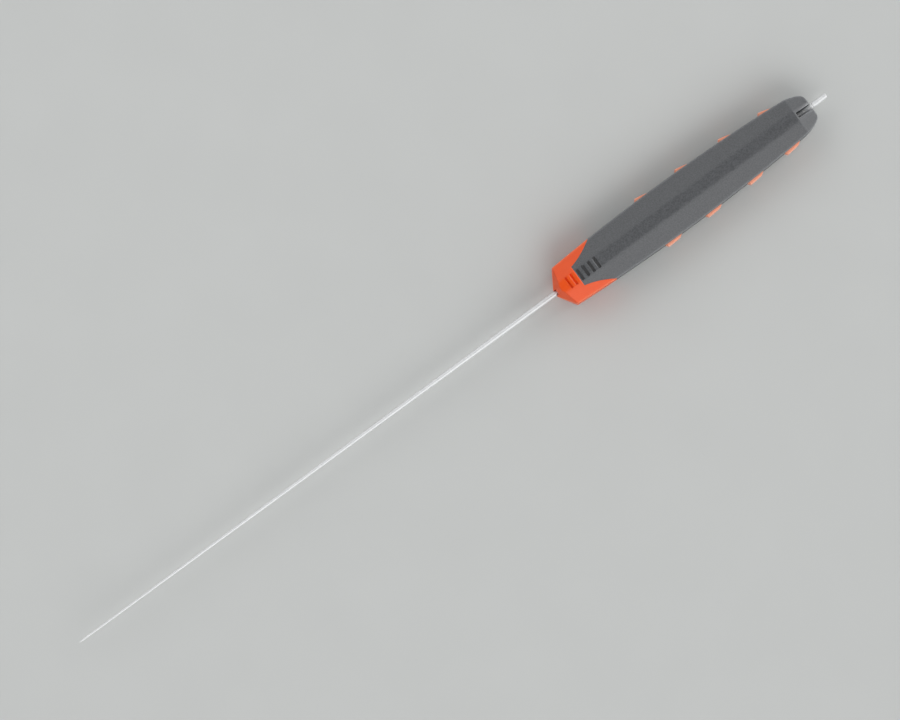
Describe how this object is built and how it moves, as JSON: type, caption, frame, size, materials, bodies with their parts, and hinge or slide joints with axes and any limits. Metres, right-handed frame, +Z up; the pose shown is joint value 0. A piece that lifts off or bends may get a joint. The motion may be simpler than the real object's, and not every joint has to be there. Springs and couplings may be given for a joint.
{
  "type": "probing needle",
  "caption": "Hand probe: a long tapered steel needle through a two-colour moulded handle with a thumb flat, finger teeth and a set-screw clamp for the needle's reach.",
  "frame": {"origin": "on the surface the handle's belly lies on, under the middle of the whole length", "axes": "+X along the needle towards its point, +Z up through the thumb flat, +Y across the handle"},
  "size_m": [0.4166, 0.0266, 0.019],
  "materials": {
    "ground_steel": "ground",
    "turned_steel": "turned",
    "orange_plastic": "satin",
    "grey_rubber": "matte",
    "black_rubber": "matte",
    "brass": "machined",
    "blackened_steel": "blackened",
    "plated_steel": "zinc plated"
  },
  "bodies": {
    "handle": {"core_upper": "orange_plastic", "core_lower": "orange_plastic", "grip_upper": "grey_rubber", "grip_lower": "grey_rubber", "finger_teeth_left": "orange_plastic", "finger_teeth_right": "orange_plastic", "nose_seal": "black_rubber", "nose_bush": "brass", "clamp_block": "brass", "clamp_pad": "brass", "tail_bush": "brass", "tail_seal": "black_rubber", "case_inserts": "brass", "case_screws": "plated_steel"},
    "needle": {"needle": "ground_steel", "stop_collar": "turned_steel", "collar_pin": "turned_steel"},
    "clamp_screw": {"clamp_screw": "blackened_steel"}
  },
  "joints": [
    {"name": "needle_slide", "type": "slide", "parent": "handle", "child": "needle", "axis": [-1, 0, 0], "range_m": [0, 0.0645]},
    {"name": "clamp_screw_turn", "type": "hinge", "parent": "handle", "child": "clamp_screw", "pos_m": [-0.091, 0, 0.005], "axis": [0, 0, -1], "range_deg": [0, 180]}
  ]
}
